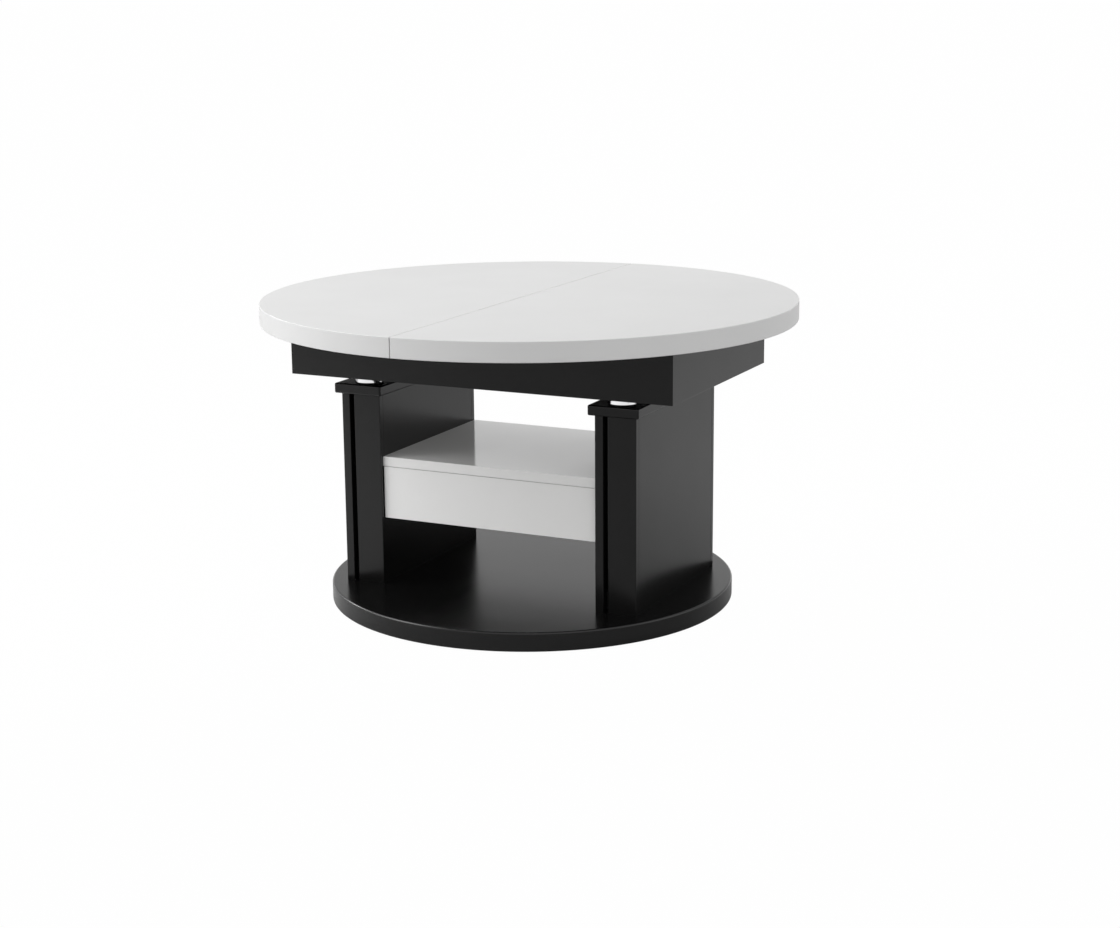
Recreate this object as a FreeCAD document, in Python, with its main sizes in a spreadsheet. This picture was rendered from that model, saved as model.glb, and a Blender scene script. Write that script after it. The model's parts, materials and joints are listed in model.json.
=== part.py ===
"""Convertible coffee dining table: a round top in two halves on lifting columns.

Millimetres. The origin is at the centre of the floor contact and +Z is up. The half tops
draw apart along X, the drawer opens towards -Y, and the top lifts along +Z.
"""
import FreeCAD
import Part
import Sketcher
import math
import os
from types import SimpleNamespace

# Driving dimensions: name, value and what it measures.
SIZES = (
    ("running_gap", 0.3, "side play between pieces that slide past each other"),
    ("fit_gap", 0.05, "radial play of a shaft in its bush"),
    ("cut_overrun", 1.0, "how far a cutting outline runs past the piece"),
    ("edge_radius", 1.0, "softened edges of the boards"),
    # Base plate
    ("base_diameter", 764.0, "round base plate"),
    ("base_thickness", 36.0, "round base plate"),
    ("base_edge_radius", 3.0, "rounded rim of the base plate"),
    ("glide_diameter", 30.0, "nylon glide"),
    ("glide_height", 2.0, "nylon glide"),
    ("glide_circle", 660.0, "diameter of the circle of glides"),
    # Casings
    ("casing_spacing", 440.0, "clear width between the casings"),
    ("casing_height", 363.0, "boards, from base plate to cap"),
    ("panel_thickness", 16.0, "long and short panels"),
    ("end_board_thickness", 12.0, "front and rear boards"),
    ("end_board_setback", 4.0, "board's face behind the long panel's edge"),
    ("slot_width", 5.0, "open slot beside the long panel"),
    ("slot_edge_radius", 8.0, "rounded edge of the end boards at the slot"),
    ("cap_thickness", 19.0, "cap plate"),
    ("cap_overhang", 10.0, "cap plate past the casing, all round"),
    ("cap_edge_radius", 3.0, "rounded edges of the cap plate"),
    # Lifting columns and gas springs
    ("lift_travel", 190.0, "from coffee height to dining height"),
    ("lift_gap", 16.0, "apron above the cap plates at coffee height"),
    ("column_diameter", 38.0, "chromed tube"),
    ("column_wall", 2.0, "chromed tube"),
    ("column_inset", 53.0, "column's axis from the inner face of the apron"),
    ("column_clearance", 1.0, "column from the end board beside it"),
    ("column_side_clearance", 4.0, "column from the panels beside it"),
    ("bush_wall", 3.0, "guide bush"),
    ("collar_diameter", 54.0, "chromed collar of the guide bush, at its foot"),
    ("collar_height", 9.0, "collar above the cap plate"),
    ("collar_taper", 1.2, "collar drawn in towards its top"),
    ("foot_height", 30.0, "sliding foot that ties two columns"),
    ("foot_floor", 10.0, "foot under the columns"),
    ("foot_lift", 6.0, "foot above the base plate"),
    ("flange_length", 74.0, "column flange, along X"),
    ("flange_width", 66.0, "column flange, along Y"),
    ("flange_thickness", 4.0, "column flange"),
    ("flange_corner_radius", 8.0, "column flange"),
    ("gas_cylinder_diameter", 28.0, "gas spring"),
    ("gas_spare_stroke", 54.0, "gas spring's stroke beyond the lift"),
    ("gas_cylinder_wall", 2.0, "gas spring"),
    ("gas_end_thickness", 10.0, "closed foot and gland of the gas spring"),
    ("gas_rod_diameter", 10.0, "gas spring"),
    ("gas_piston_height", 12.0, "gas spring"),
    ("gas_piston_play", 0.2, "piston in its cylinder"),
    ("gas_rest_stroke", 4.0, "piston above the foot of its cylinder at coffee height"),
    ("gas_plate_diameter", 40.0, "mounting plate on the rod"),
    ("gas_plate_thickness", 4.0, "mounting plate on the rod"),
    ("pass_gap", 2.0, "play round what passes through a hole"),
    # Apron box
    ("apron_length", 766.0, "along X"),
    ("apron_thickness", 18.0, "apron boards"),
    ("frame_board_thickness", 12.0, "board that closes the box"),
    ("frame_board_recess", 9.0, "board above the apron's lower edge"),
    ("leaf_headroom", 6.0, "apron's edge above the stored leaves"),
    ("top_gap", 1.0, "half tops above the apron"),
    ("strip_width", 12.0, "slip strip"),
    ("strip_height", 0.8, "slip strip"),
    ("strip_end", 24.0, "slip strip short of the apron's end"),
    # Half tops
    ("top_diameter", 1000.0, "closed round top"),
    ("top_thickness", 36.0, "half tops and leaves"),
    ("top_edge_radius", 3.0, "rounded rim of the top"),
    ("top_travel", 190.0, "each half top, outwards"),
    ("seam_gap", 0.6, "between the closed halves"),
    ("seam_offset", 11.0, "seam to the left of the middle of the top"),
    ("seam_chamfer", 0.8, "broken edge along the seam"),
    ("seam_pin_diameter", 8.0, "locating pins in the seam"),
    ("seam_pin_seat", 26.0, "pin inside the left half"),
    ("seam_pin_reach", 14.0, "pin standing out of the left half"),
    ("seam_pin_tip", 2.0, "taper at the pin's end"),
    ("seam_pin_play", 0.3, "pin in the right half, and past its end"),
    # Synchronised slides
    ("channel_wall", 2.0, "guide channel"),
    ("channel_lip", 5.0, "lips of the guide channel"),
    ("channel_drop", 1.0, "upper channel below the apron's edge"),
    ("channel_end", 1.0, "channel short of the end boards"),
    ("bar_width", 10.0, "rack bar, along Y"),
    ("slide_clearance", 9.4, "lower channel above the frame board"),
    ("bar_reach", 18.0, "rack past the pinion at full travel"),
    ("bar_end", 3.0, "bar short of the end board at full travel"),
    ("gear_module", 2.0, "rack and pinion"),
    ("gear_backlash", 0.3, "rack and pinion"),
    ("rack_width", 5.0, "toothed strip of the bar"),
    ("pinion_width", 4.0, "pinion"),
    ("spindle_diameter", 6.0, "pinion pin"),
    ("spindle_shoulder", 10.0, "shoulder and head of the pinion pin"),
    ("spindle_foot", 16.0, "foot of the pinion pin"),
    ("spindle_foot_height", 2.0, "foot of the pinion pin"),
    ("spindle_head_height", 1.5, "head of the pinion pin"),
    ("bracket_thickness", 3.0, "angle bracket"),
    ("bracket_flange", 24.0, "flange under the half top"),
    ("bracket_start", 30.0, "bracket from the middle of the table"),
    ("bracket_length", 120.0, "along X"),
    ("bracket_step", 0.5, "lower bracket clear of the upper bar"),
    ("leaf_clearance", 1.5, "stored leaf from the brackets beside it"),
    # Shelf and drawer
    ("shelf_rise", 245.0, "shelf's upper face above the base plate"),
    ("shelf_thickness", 18.0, "shelf panel"),
    ("shelf_setback", 12.0, "shelf and drawer front behind the casing's front edge"),
    ("back_thickness", 16.0, "panel behind the drawer"),
    ("drawer_gap", 1.0, "gap above the drawer front"),
    ("drawer_side_gap", 1.5, "gap beside the drawer front"),
    ("drawer_front_height", 98.0, "drawer front"),
    ("drawer_front_thickness", 18.0, "drawer front"),
    ("drawer_back_gap", 22.0, "drawer box short of the panel behind it"),
    ("drawer_board", 12.0, "drawer sides and back"),
    ("drawer_side_height", 70.0, "drawer sides"),
    ("drawer_side_lift", 10.0, "drawer box above the front's lower edge"),
    ("drawer_bottom_thickness", 4.0, "drawer bottom"),
    ("drawer_bottom_groove", 6.0, "drawer bottom let into the sides"),
    ("drawer_bottom_lift", 8.0, "drawer bottom above the sides' lower edge"),
    ("rail_space", 13.0, "casing to drawer side"),
    ("rail_height", 27.0, "drawer rail"),
    ("rail_wall", 1.5, "drawer rail and runner"),
    ("rail_depth", 9.5, "drawer rail, along X"),
    ("rail_lift", 20.0, "rail above the drawer side's lower edge"),
)

GLIDES = 6
PINION_TEETH = 14
PRESSURE_ANGLE = math.radians(25)
ROOT_SHARE = 1.25
SEAM_PIN_SHARES = (-0.7, 0, 0.7)

doc = FreeCAD.newDocument("coffee_dining_table")
sheet = doc.addObject("Spreadsheet::Sheet", "sizes")
nodes = {}


class Size:
    """A length: its number and the expression on the sheet that gives it."""

    def __init__(self, value, text):
        self.value = value
        self.text = text

    def __add__(self, other):
        return Size(self.value + other.value, f"({self.text} + {other.text})")

    def __sub__(self, other):
        return Size(self.value - other.value, f"({self.text} - {other.text})")

    def __neg__(self):
        return Size(-self.value, f"(-1 * {self.text})")

    def __mul__(self, factor):
        return Size(self.value * factor, f"({self.text} * {factor})")

    def __truediv__(self, divisor):
        return Size(self.value / divisor, f"({self.text} / {divisor})")


ZERO = Size(0.0, "0")


def read_sizes():
    """Writes the driving dimensions to the sheet and returns them by name."""
    for row, (name, value, note) in enumerate(SIZES, start=1):
        sheet.set(f"A{row}", name)
        sheet.set(f"B{row}", str(value))
        sheet.set(f"C{row}", note)
        sheet.setAlias(f"B{row}", name)
    doc.recompute()
    return SimpleNamespace(**{name: Size(float(sheet.get(name)), f"sizes.{name}") for name, _, _ in SIZES})


s = read_sizes()

# Levels above the floor.
base_top = s.glide_height + s.base_thickness
casing_top = base_top + s.casing_height
cap_top = casing_top + s.cap_thickness
apron_low = cap_top + s.lift_gap
frame_low = apron_low + s.frame_board_recess
frame_top = frame_low + s.frame_board_thickness
apron_top = frame_top + s.top_thickness * 2 + s.leaf_headroom
top_low = apron_top + s.top_gap
top_high = top_low + s.top_thickness
foot_low = base_top + s.foot_lift

# The slides: distances are measured inwards from the apron's inner face, heights from the pinion's axis.
pinion_radius = s.gear_module * (PINION_TEETH / 2)
addendum = s.gear_module
dedendum = s.gear_module * ROOT_SHARE
bar_low = pinion_radius + dedendum
bar_high = (apron_top - frame_top - s.channel_drop - s.slide_clearance) / 2 - s.channel_wall - s.running_gap
bar_outer = s.channel_wall + s.running_gap
bar_inner = bar_outer + s.bar_width
rack_outer = bar_inner - s.rack_width
pinion_level = apron_top - s.channel_drop - s.channel_wall - s.running_gap - bar_high
pinion_outer = rack_outer + (s.rack_width - s.pinion_width) / 2
pinion_inner = pinion_outer + s.pinion_width

# The apron box takes the leaves laid crosswise, with the slides on either side of them.
leaf_half = s.top_travel - s.running_gap
apron_inner_x = s.apron_length / 2 - s.apron_thickness
apron_inner_y = leaf_half + s.leaf_clearance + s.bracket_thickness + s.bracket_step + bar_inner
apron_outer_y = apron_inner_y + s.apron_thickness

# The columns stand inside the apron box, and the casings close round them.
column_radius = s.column_diameter / 2
column_y = apron_inner_y - s.column_inset
bush_bore = column_radius + s.fit_gap
bush_radius = bush_bore + s.bush_wall
gas_rod_radius = s.gas_rod_diameter / 2
gas_radius = s.gas_cylinder_diameter / 2
casing_inner = column_radius + s.column_side_clearance
casing_half = casing_inner + s.panel_thickness
board_back = column_y + column_radius + s.column_clearance
board_face = board_back + s.end_board_thickness
casing_front = board_face + s.end_board_setback

# The shelf and the drawer between the casings.
shelf_front = s.shelf_setback - casing_front
shelf_high = base_top + s.shelf_rise
shelf_low = shelf_high - s.shelf_thickness
front_high = shelf_low - s.drawer_gap
front_low = front_high - s.drawer_front_height
bay_half = s.casing_spacing / 2
drawer_half = bay_half - s.rail_space
box_low = front_low + s.drawer_side_lift
box_high = box_low + s.drawer_side_height
box_front = shelf_front + s.drawer_front_thickness
box_back = board_face - s.back_thickness - s.drawer_back_gap
rail_low = box_low + s.rail_lift
rail_high = rail_low + s.rail_height


def bind(item, name, size):
    """Ties a property of an object to the sheet."""
    item.setExpression(name, size.text)


def place(item, x=ZERO, y=ZERO, z=ZERO, axis=None, angle=0):
    """Turns an object about an axis through the origin and moves it to x, y, z."""
    turn = FreeCAD.Rotation(FreeCAD.Vector(*axis), angle) if axis else FreeCAD.Rotation()
    item.Placement = FreeCAD.Placement(FreeCAD.Vector(x.value, y.value, z.value), turn)
    for name, size in (("x", x), ("y", y), ("z", z)):
        if size is not ZERO:
            bind(item, f"Placement.Base.{name}", size)


def new_body(label):
    body = doc.addObject("PartDesign::Body", label)
    body.Label = label
    return body


def sketch_on(body, role, offset=ZERO):
    """A sketch on one of the body's origin planes, moved along that plane's normal."""
    sketch = body.newObject("Sketcher::SketchObject", "Sketch")
    plane = next(item for item in body.Origin.OriginFeatures if item.Role == role)
    sketch.AttachmentSupport = [(plane, "")]
    sketch.MapMode = "FlatFace"
    bind(sketch, "AttachmentOffset.Base.z", offset)
    return sketch


def hold(sketch, kind, geometry, point, size):
    """Holds one coordinate of a sketch point at a size measured from the sketch's origin."""
    if size is ZERO:
        line = -2 if kind == "DistanceX" else -1
        sketch.addConstraint(Sketcher.Constraint("PointOnObject", geometry, point, line))
        return
    number = sketch.addConstraint(Sketcher.Constraint(kind, -1, 1, geometry, point, size.value))
    name = f"{kind}_{geometry}_{point}"
    sketch.renameConstraint(number, name)
    bind(sketch, f"Constraints.{name}", size)


def hold_radius(sketch, geometry, size):
    number = sketch.addConstraint(Sketcher.Constraint("Radius", geometry, size.value))
    name = f"Radius_{geometry}"
    sketch.renameConstraint(number, name)
    bind(sketch, f"Constraints.{name}", size)


def polygon(sketch, points):
    """A closed outline of straight edges, every corner held in both directions."""
    first = sketch.GeometryCount
    count = len(points)
    corners = [FreeCAD.Vector(x.value, y.value, 0) for x, y in points]
    for i in range(count):
        sketch.addGeometry(Part.LineSegment(corners[i], corners[(i + 1) % count]), False)
    for i in range(count):
        follower = first + (i + 1) % count
        sketch.addConstraint(Sketcher.Constraint("Coincident", first + i, 2, follower, 1))
    for i, (x, y) in enumerate(points):
        hold(sketch, "DistanceX", first + i, 1, x)
        hold(sketch, "DistanceY", first + i, 1, y)


def rectangle(sketch, x, y):
    """A rectangle between the low and high values of x and of y."""
    polygon(sketch, [(x[0], y[0]), (x[1], y[0]), (x[1], y[1]), (x[0], y[1])])


def circle(sketch, x, y, radius):
    centre = FreeCAD.Vector(x.value, y.value, 0)
    number = sketch.addGeometry(Part.Circle(centre, FreeCAD.Vector(0, 0, 1), radius.value), False)
    hold(sketch, "DistanceX", number, 3, x)
    hold(sketch, "DistanceY", number, 3, y)
    hold_radius(sketch, number, radius)


def feature(body, kind, sketch, length):
    """A Pad or Pocket of a sketch by a length."""
    item = body.newObject(f"PartDesign::{kind}", kind)
    item.Profile = sketch
    bind(item, "Length", length)
    body.Tip = item
    return item


def soften(body, radius, chosen):
    """Rounds the edges of the body that chosen picks."""
    doc.recompute()
    base = body.Tip
    names = [f"Edge{i}" for i, edge in enumerate(base.Shape.Edges, start=1) if chosen(edge)]
    item = body.newObject("PartDesign::Fillet", "Fillet")
    item.Base = (base, names)
    bind(item, "Radius", radius)
    body.Tip = item


def is_straight(edge):
    return isinstance(edge.Curve, Part.Line)


def is_upright(edge):
    box = edge.BoundBox
    return is_straight(edge) and box.ZLength > box.XLength + box.YLength


def is_corner(edge, x, y):
    """An upright edge that stands at x, y."""
    box = edge.BoundBox
    return is_upright(edge) and max(abs(box.XMin - x.value), abs(box.YMin - y.value)) < s.fit_gap.value


def prism(label, axis, points, low, high):
    """A body of straight-edged section, drawn across an axis and padded along it from low to high."""
    body = new_body(label)
    if axis == "Y":
        sketch = sketch_on(body, "XZ_Plane", -high)
    else:
        sketch = sketch_on(body, "XY_Plane" if axis == "Z" else "YZ_Plane", low)
    polygon(sketch, points)
    feature(body, "Pad", sketch, high - low)
    return body


def board(label, x, y, z, softened=None):
    """A rectangular board between low and high values; softened picks the edges that are eased."""
    corners = [(x[0], y[0]), (x[1], y[0]), (x[1], y[1]), (x[0], y[1])]
    body = prism(label, "Z", corners, z[0], z[1])
    if softened:
        soften(body, s.edge_radius, softened)
    nodes[label] = body
    return body


def turned(label, points):
    """A turned body: an outline of radius and height, revolved about its own Z axis."""
    body = new_body(label)
    sketch = sketch_on(body, "XZ_Plane")
    polygon(sketch, points)
    item = body.newObject("PartDesign::Revolution", "Revolution")
    item.Profile = sketch
    item.ReferenceAxis = (sketch, ["V_Axis"])
    item.Angle = 360
    body.Tip = item
    return body


def group(label, members):
    """Like pieces that share one node, each still a solid of its own."""
    item = doc.addObject("Part::Compound", label)
    item.Label = label
    item.Links = members
    nodes[label] = item


def make_base():
    """The round base plate on its glides."""
    plate = new_body("base_plate")
    sketch = sketch_on(plate, "XY_Plane", s.glide_height)
    circle(sketch, ZERO, ZERO, s.base_diameter / 2)
    feature(plate, "Pad", sketch, s.base_thickness)
    soften(plate, s.base_edge_radius, lambda edge: not is_straight(edge))
    nodes["base_plate"] = plate

    glides = []
    for i in range(GLIDES):
        angle = 2 * math.pi * i / GLIDES
        glide = doc.addObject("Part::Cylinder", f"glide_{i}")
        bind(glide, "Radius", s.glide_diameter / 2)
        bind(glide, "Height", s.glide_height)
        place(glide, s.glide_circle * (math.cos(angle) / 2), s.glide_circle * (math.sin(angle) / 2))
        glides.append(glide)
    group("base_glides", glides)


def make_casing(side, centre):
    """One casing: a long panel, a short panel between two end boards, and the cap plate."""
    start = centre - casing_half
    end = centre + casing_half
    inside = start + s.panel_thickness
    slot_end = inside + s.slot_width
    upright = (base_top, casing_top)
    board(f"{side}_long_panel", (start, inside), (-casing_front, casing_front), upright, is_upright)
    board(f"{side}_short_panel", (end - s.panel_thickness, end), (-board_back, board_back), upright)
    end_boards = (
        ("front", -board_face, (-board_face, -board_back)),
        ("rear", board_face, (board_back, board_face)),
    )
    for name, face, depth in end_boards:
        piece = board(f"{side}_{name}_board", (slot_end, end), depth, upright,
                      lambda edge: is_corner(edge, end, face))
        soften(piece, s.slot_edge_radius, lambda edge: is_corner(edge, slot_end, face))

    cap = new_body(f"{side}_cap")
    sketch = sketch_on(cap, "XY_Plane", casing_top)
    cap_depth = casing_front + s.cap_overhang
    rectangle(sketch, (start - s.cap_overhang, end + s.cap_overhang), (-cap_depth, cap_depth))
    circle(sketch, centre, column_y, bush_radius)
    circle(sketch, centre, -column_y, bush_radius)
    circle(sketch, centre, ZERO, gas_rod_radius + s.pass_gap)
    feature(cap, "Pad", sketch, s.cap_thickness)
    soften(cap, s.cap_edge_radius, is_straight)
    nodes[f"{side}_cap"] = cap


def make_lift(side, centre):
    """What carries the top in one casing: two columns on a sliding foot, and the gas spring."""
    inner_half = casing_inner - s.running_gap
    inner_depth = board_back - s.running_gap
    seat = foot_low + s.foot_floor
    foot = new_body(f"{side}_lift_foot")
    for low, high, bored in ((foot_low, seat, False), (seat, foot_low + s.foot_height, True)):
        sketch = sketch_on(foot, "XY_Plane", low)
        rectangle(sketch, (centre - inner_half, centre + inner_half), (-inner_depth, inner_depth))
        circle(sketch, centre, ZERO, gas_radius + s.pass_gap)
        if bored:
            circle(sketch, centre, column_y, column_radius + s.fit_gap)
            circle(sketch, centre, -column_y, column_radius + s.fit_gap)
        feature(foot, "Pad", sketch, high - low)
    nodes[f"{side}_lift_foot"] = foot

    bore = column_radius - s.column_wall
    tube = [(bore, seat), (column_radius, seat), (column_radius, frame_low), (bore, frame_low)]
    rim = s.collar_diameter / 2
    rim_top = cap_top + s.collar_height
    bush = [(bush_bore, casing_top), (bush_radius, casing_top), (bush_radius, cap_top), (rim, cap_top),
            (rim - s.collar_taper, rim_top), (bush_bore, rim_top)]
    bushes = []
    flanges = []
    for end, y in (("front", -column_y), ("rear", column_y)):
        column = turned(f"{side}_{end}_column", tube)
        place(column, centre, y)
        nodes[column.Label] = column
        bushes.append(turned(f"{side}_{end}_bush", bush))
        place(bushes[-1], centre, y)
        flanges.append(make_flange(f"{side}_{end}_flange", centre, y))
    group(f"{side}_guide_bushes", bushes)
    group(f"{side}_column_flanges", flanges)

    floor = base_top + s.gas_end_thickness
    piston_low = floor + s.gas_rest_stroke
    piston_high = piston_low + s.gas_piston_height
    gland = piston_high + s.lift_travel + s.gas_spare_stroke
    gas_top = gland + s.gas_end_thickness
    gas_bore = gas_radius - s.gas_cylinder_wall
    gland_bore = gas_rod_radius + s.fit_gap
    cylinder = turned(f"{side}_gas_cylinder", [
        (ZERO, base_top), (gas_radius, base_top), (gas_radius, gas_top), (gland_bore, gas_top),
        (gland_bore, gland), (gas_bore, gland), (gas_bore, floor), (ZERO, floor)])
    piston = gas_bore - s.gas_piston_play
    plate = s.gas_plate_diameter / 2
    plate_low = frame_low - s.gas_plate_thickness
    rod = turned(f"{side}_gas_rod", [
        (ZERO, piston_low), (piston, piston_low), (piston, piston_high), (gas_rod_radius, piston_high),
        (gas_rod_radius, plate_low), (plate, plate_low), (plate, frame_low), (ZERO, frame_low)])
    for piece in (cylinder, rod):
        place(piece, centre)
        nodes[piece.Label] = piece


def make_flange(label, x, y):
    """The plate that holds one column to the frame board."""
    body = new_body(label)
    sketch = sketch_on(body, "XY_Plane", frame_low - s.flange_thickness)
    length = s.flange_length / 2
    width = s.flange_width / 2
    rectangle(sketch, (x - length, x + length), (y - width, y + width))
    circle(sketch, x, y, column_radius + s.fit_gap)
    feature(body, "Pad", sketch, s.flange_thickness)
    soften(body, s.flange_corner_radius, is_upright)
    return body


def make_apron():
    """The mitred apron box, the board that closes it, and the slip strips on its edge."""
    x = s.apron_length / 2
    y = apron_outer_y
    inner_x = apron_inner_x
    inner_y = apron_inner_y
    mitred = {
        "apron_front": [(-x, -y), (x, -y), (inner_x, -inner_y), (-inner_x, -inner_y)],
        "apron_rear": [(-x, y), (x, y), (inner_x, inner_y), (-inner_x, inner_y)],
        "apron_left": [(-x, -y), (-x, y), (-inner_x, inner_y), (-inner_x, -inner_y)],
        "apron_right": [(x, -y), (x, y), (inner_x, inner_y), (inner_x, -inner_y)],
    }
    for label, corners in mitred.items():
        nodes[label] = prism(label, "Z", corners, apron_low, apron_top)
    board("frame_board", (-inner_x, inner_x), (-inner_y, inner_y), (frame_low, frame_top))

    strips = []
    margin = (s.apron_thickness - s.strip_width) / 2
    for label, sign in (("front", -1), ("rear", 1)):
        strip = doc.addObject("Part::Box", f"slip_strip_{label}")
        bind(strip, "Length", s.apron_length - s.strip_end * 2)
        bind(strip, "Width", s.strip_width)
        bind(strip, "Height", s.strip_height)
        low = margin - y if sign < 0 else inner_y + margin
        place(strip, s.strip_end - x, low, apron_top)
        strips.append(strip)
    group("slip_strips", strips)


def make_half_top(side, sign):
    """One half of the round top, with bores for the seam pins in its straight edge."""
    radius = s.top_diameter / 2
    edge = s.seam_gap * (sign / 2) - s.seam_offset
    body = new_body(f"{side}_half_top")
    sketch = sketch_on(body, "XY_Plane", top_low)
    reach = math.acos(edge.value * sign / radius.value)
    middle = 0 if sign > 0 else math.pi
    rim = Part.Circle(FreeCAD.Vector(), FreeCAD.Vector(0, 0, 1), radius.value)
    sketch.addGeometry(Part.ArcOfCircle(rim, middle - reach, middle + reach), False)
    ends = [sketch.getPoint(0, 2), sketch.getPoint(0, 1)]
    sketch.addGeometry(Part.LineSegment(*ends), False)
    sketch.addConstraint(Sketcher.Constraint("Coincident", 0, 3, -1, 1))
    sketch.addConstraint(Sketcher.Constraint("Coincident", 0, 2, 1, 1))
    sketch.addConstraint(Sketcher.Constraint("Coincident", 1, 2, 0, 1))
    sketch.addConstraint(Sketcher.Constraint("Vertical", 1))
    hold_radius(sketch, 0, radius)
    hold(sketch, "DistanceX", 1, 1, edge)
    feature(body, "Pad", sketch, s.top_thickness)
    soften(body, s.top_edge_radius, lambda item: not is_straight(item))

    holes = sketch_on(body, "YZ_Plane", edge)
    level = top_low + s.top_thickness / 2
    play = s.seam_pin_play if sign > 0 else ZERO
    for share in SEAM_PIN_SHARES:
        y = radius * share if share else ZERO
        circle(holes, y, level, s.seam_pin_diameter / 2 + play)
    depth = s.seam_pin_reach + s.seam_pin_play if sign > 0 else s.seam_pin_seat
    feature(body, "Pocket", holes, depth).Reversed = sign > 0
    break_seam_edge(body, edge, sign)
    nodes[body.Label] = body


def break_seam_edge(body, edge, sign):
    """Cuts the upper edge of a half top back at 45 degrees along the seam."""
    reach = s.top_diameter / 2 + s.cut_overrun
    outside = edge - s.cut_overrun * sign
    inside = edge + (s.seam_chamfer + s.cut_overrun) * sign
    corner = sketch_on(body, "XZ_Plane", reach)
    polygon(corner, [(outside, top_high - s.seam_chamfer - s.cut_overrun), (inside, top_high + s.cut_overrun),
                     (outside, top_high + s.cut_overrun)])
    feature(body, "Pocket", corner, reach * 2)


def make_seam_pins():
    """Three pins in the left half that locate the right half when the top closes."""
    radius = s.seam_pin_diameter / 2
    start = -s.seam_offset - s.seam_gap / 2 - s.seam_pin_seat
    length = s.seam_pin_seat + s.seam_pin_reach
    tip = radius - s.seam_pin_tip
    outline = [(ZERO, ZERO), (radius, ZERO), (radius, length - s.seam_pin_tip), (tip, length), (ZERO, length)]
    pins = []
    for i, share in enumerate(SEAM_PIN_SHARES):
        pins.append(turned(f"seam_pin_{i}", outline))
        y = s.top_diameter * (share / 2)
        place(pins[-1], start, y, top_low + s.top_thickness / 2, (0, 1, 0), 90)
    group("seam_pins", pins)


def make_leaves():
    """The two half leaves that fill the open top, laid crosswise on the frame board."""
    length = s.top_diameter / 4
    low = frame_top
    for label in ("lower_half_leaf", "upper_half_leaf"):
        high = low + s.top_thickness
        leaf = board(label, (-length, length), (-leaf_half, leaf_half), (low, high))
        soften(leaf, s.top_edge_radius, lambda edge: is_leaf_end(edge, length.value))
        low = high


def is_leaf_end(edge, x):
    """The edges of a leaf's outer end, which are rounded like the rim of the top."""
    box = edge.BoundBox
    return abs(box.XMin - x) < s.fit_gap.value and box.ZLength < s.fit_gap.value


def rack_bar(label):
    """A guide bar with a toothed strip, drawn above the pinion's axis at the front apron."""
    start = -s.top_travel - s.bar_reach
    end = apron_inner_x - s.top_travel - s.bar_end
    pitch = s.gear_module * math.pi
    tip = pinion_radius - addendum
    gaps_before = int((s.top_travel.value + s.bar_reach.value) / pitch.value - 0.5)
    gaps_after = int(s.bar_reach.value / pitch.value)
    strip_end = pitch * (gaps_after + 0.5)

    body = new_body(label)
    bar = sketch_on(body, "YZ_Plane", start)
    rectangle(bar, (bar_outer - apron_inner_y, bar_inner - apron_inner_y), (bar_low, bar_high))
    feature(body, "Pad", bar, end - start)
    strip = sketch_on(body, "YZ_Plane", start)
    rectangle(strip, (rack_outer - apron_inner_y, bar_inner - apron_inner_y), (tip, bar_low))
    feature(body, "Pad", strip, strip_end - start)

    slope_share = math.tan(PRESSURE_ANGLE)
    half_gap = pitch / 4 + s.gear_backlash / 4
    root_half = half_gap - dedendum * slope_share
    mouth = tip - s.cut_overrun
    mouth_half = half_gap + (addendum + s.cut_overrun) * slope_share
    first = -pitch * gaps_before
    gap = sketch_on(body, "XZ_Plane", apron_inner_y - rack_outer + s.cut_overrun)
    polygon(gap, [(first - root_half, bar_low), (first + root_half, bar_low), (first + mouth_half, mouth),
                  (first - mouth_half, mouth)])
    cut = feature(body, "Pocket", gap, s.rack_width + s.cut_overrun * 2)
    doc.recompute()
    teeth = body.newObject("PartDesign::LinearPattern", "Teeth")
    teeth.Originals = [cut]
    teeth.Direction = (gap, ["H_Axis"])
    teeth.Occurrences = gaps_before + gaps_after + 1
    bind(teeth, "Length", pitch * (gaps_before + gaps_after))
    body.Tip = teeth
    nodes[label] = body
    return body


def channel(label):
    """The lipped channel that guides the bar above the pinion's axis at the front apron."""
    y = [size - apron_inner_y for size in (ZERO, s.channel_wall, s.channel_wall + s.channel_lip)]
    low = bar_low - s.running_gap
    high = bar_high + s.running_gap
    outline = [(y[0], low - s.channel_wall), (y[2], low - s.channel_wall), (y[2], low), (y[1], low),
               (y[1], high), (y[2], high), (y[2], high + s.channel_wall), (y[0], high + s.channel_wall)]
    reach = apron_inner_x - s.channel_end
    return prism(label, "X", outline, -reach, reach)


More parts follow.
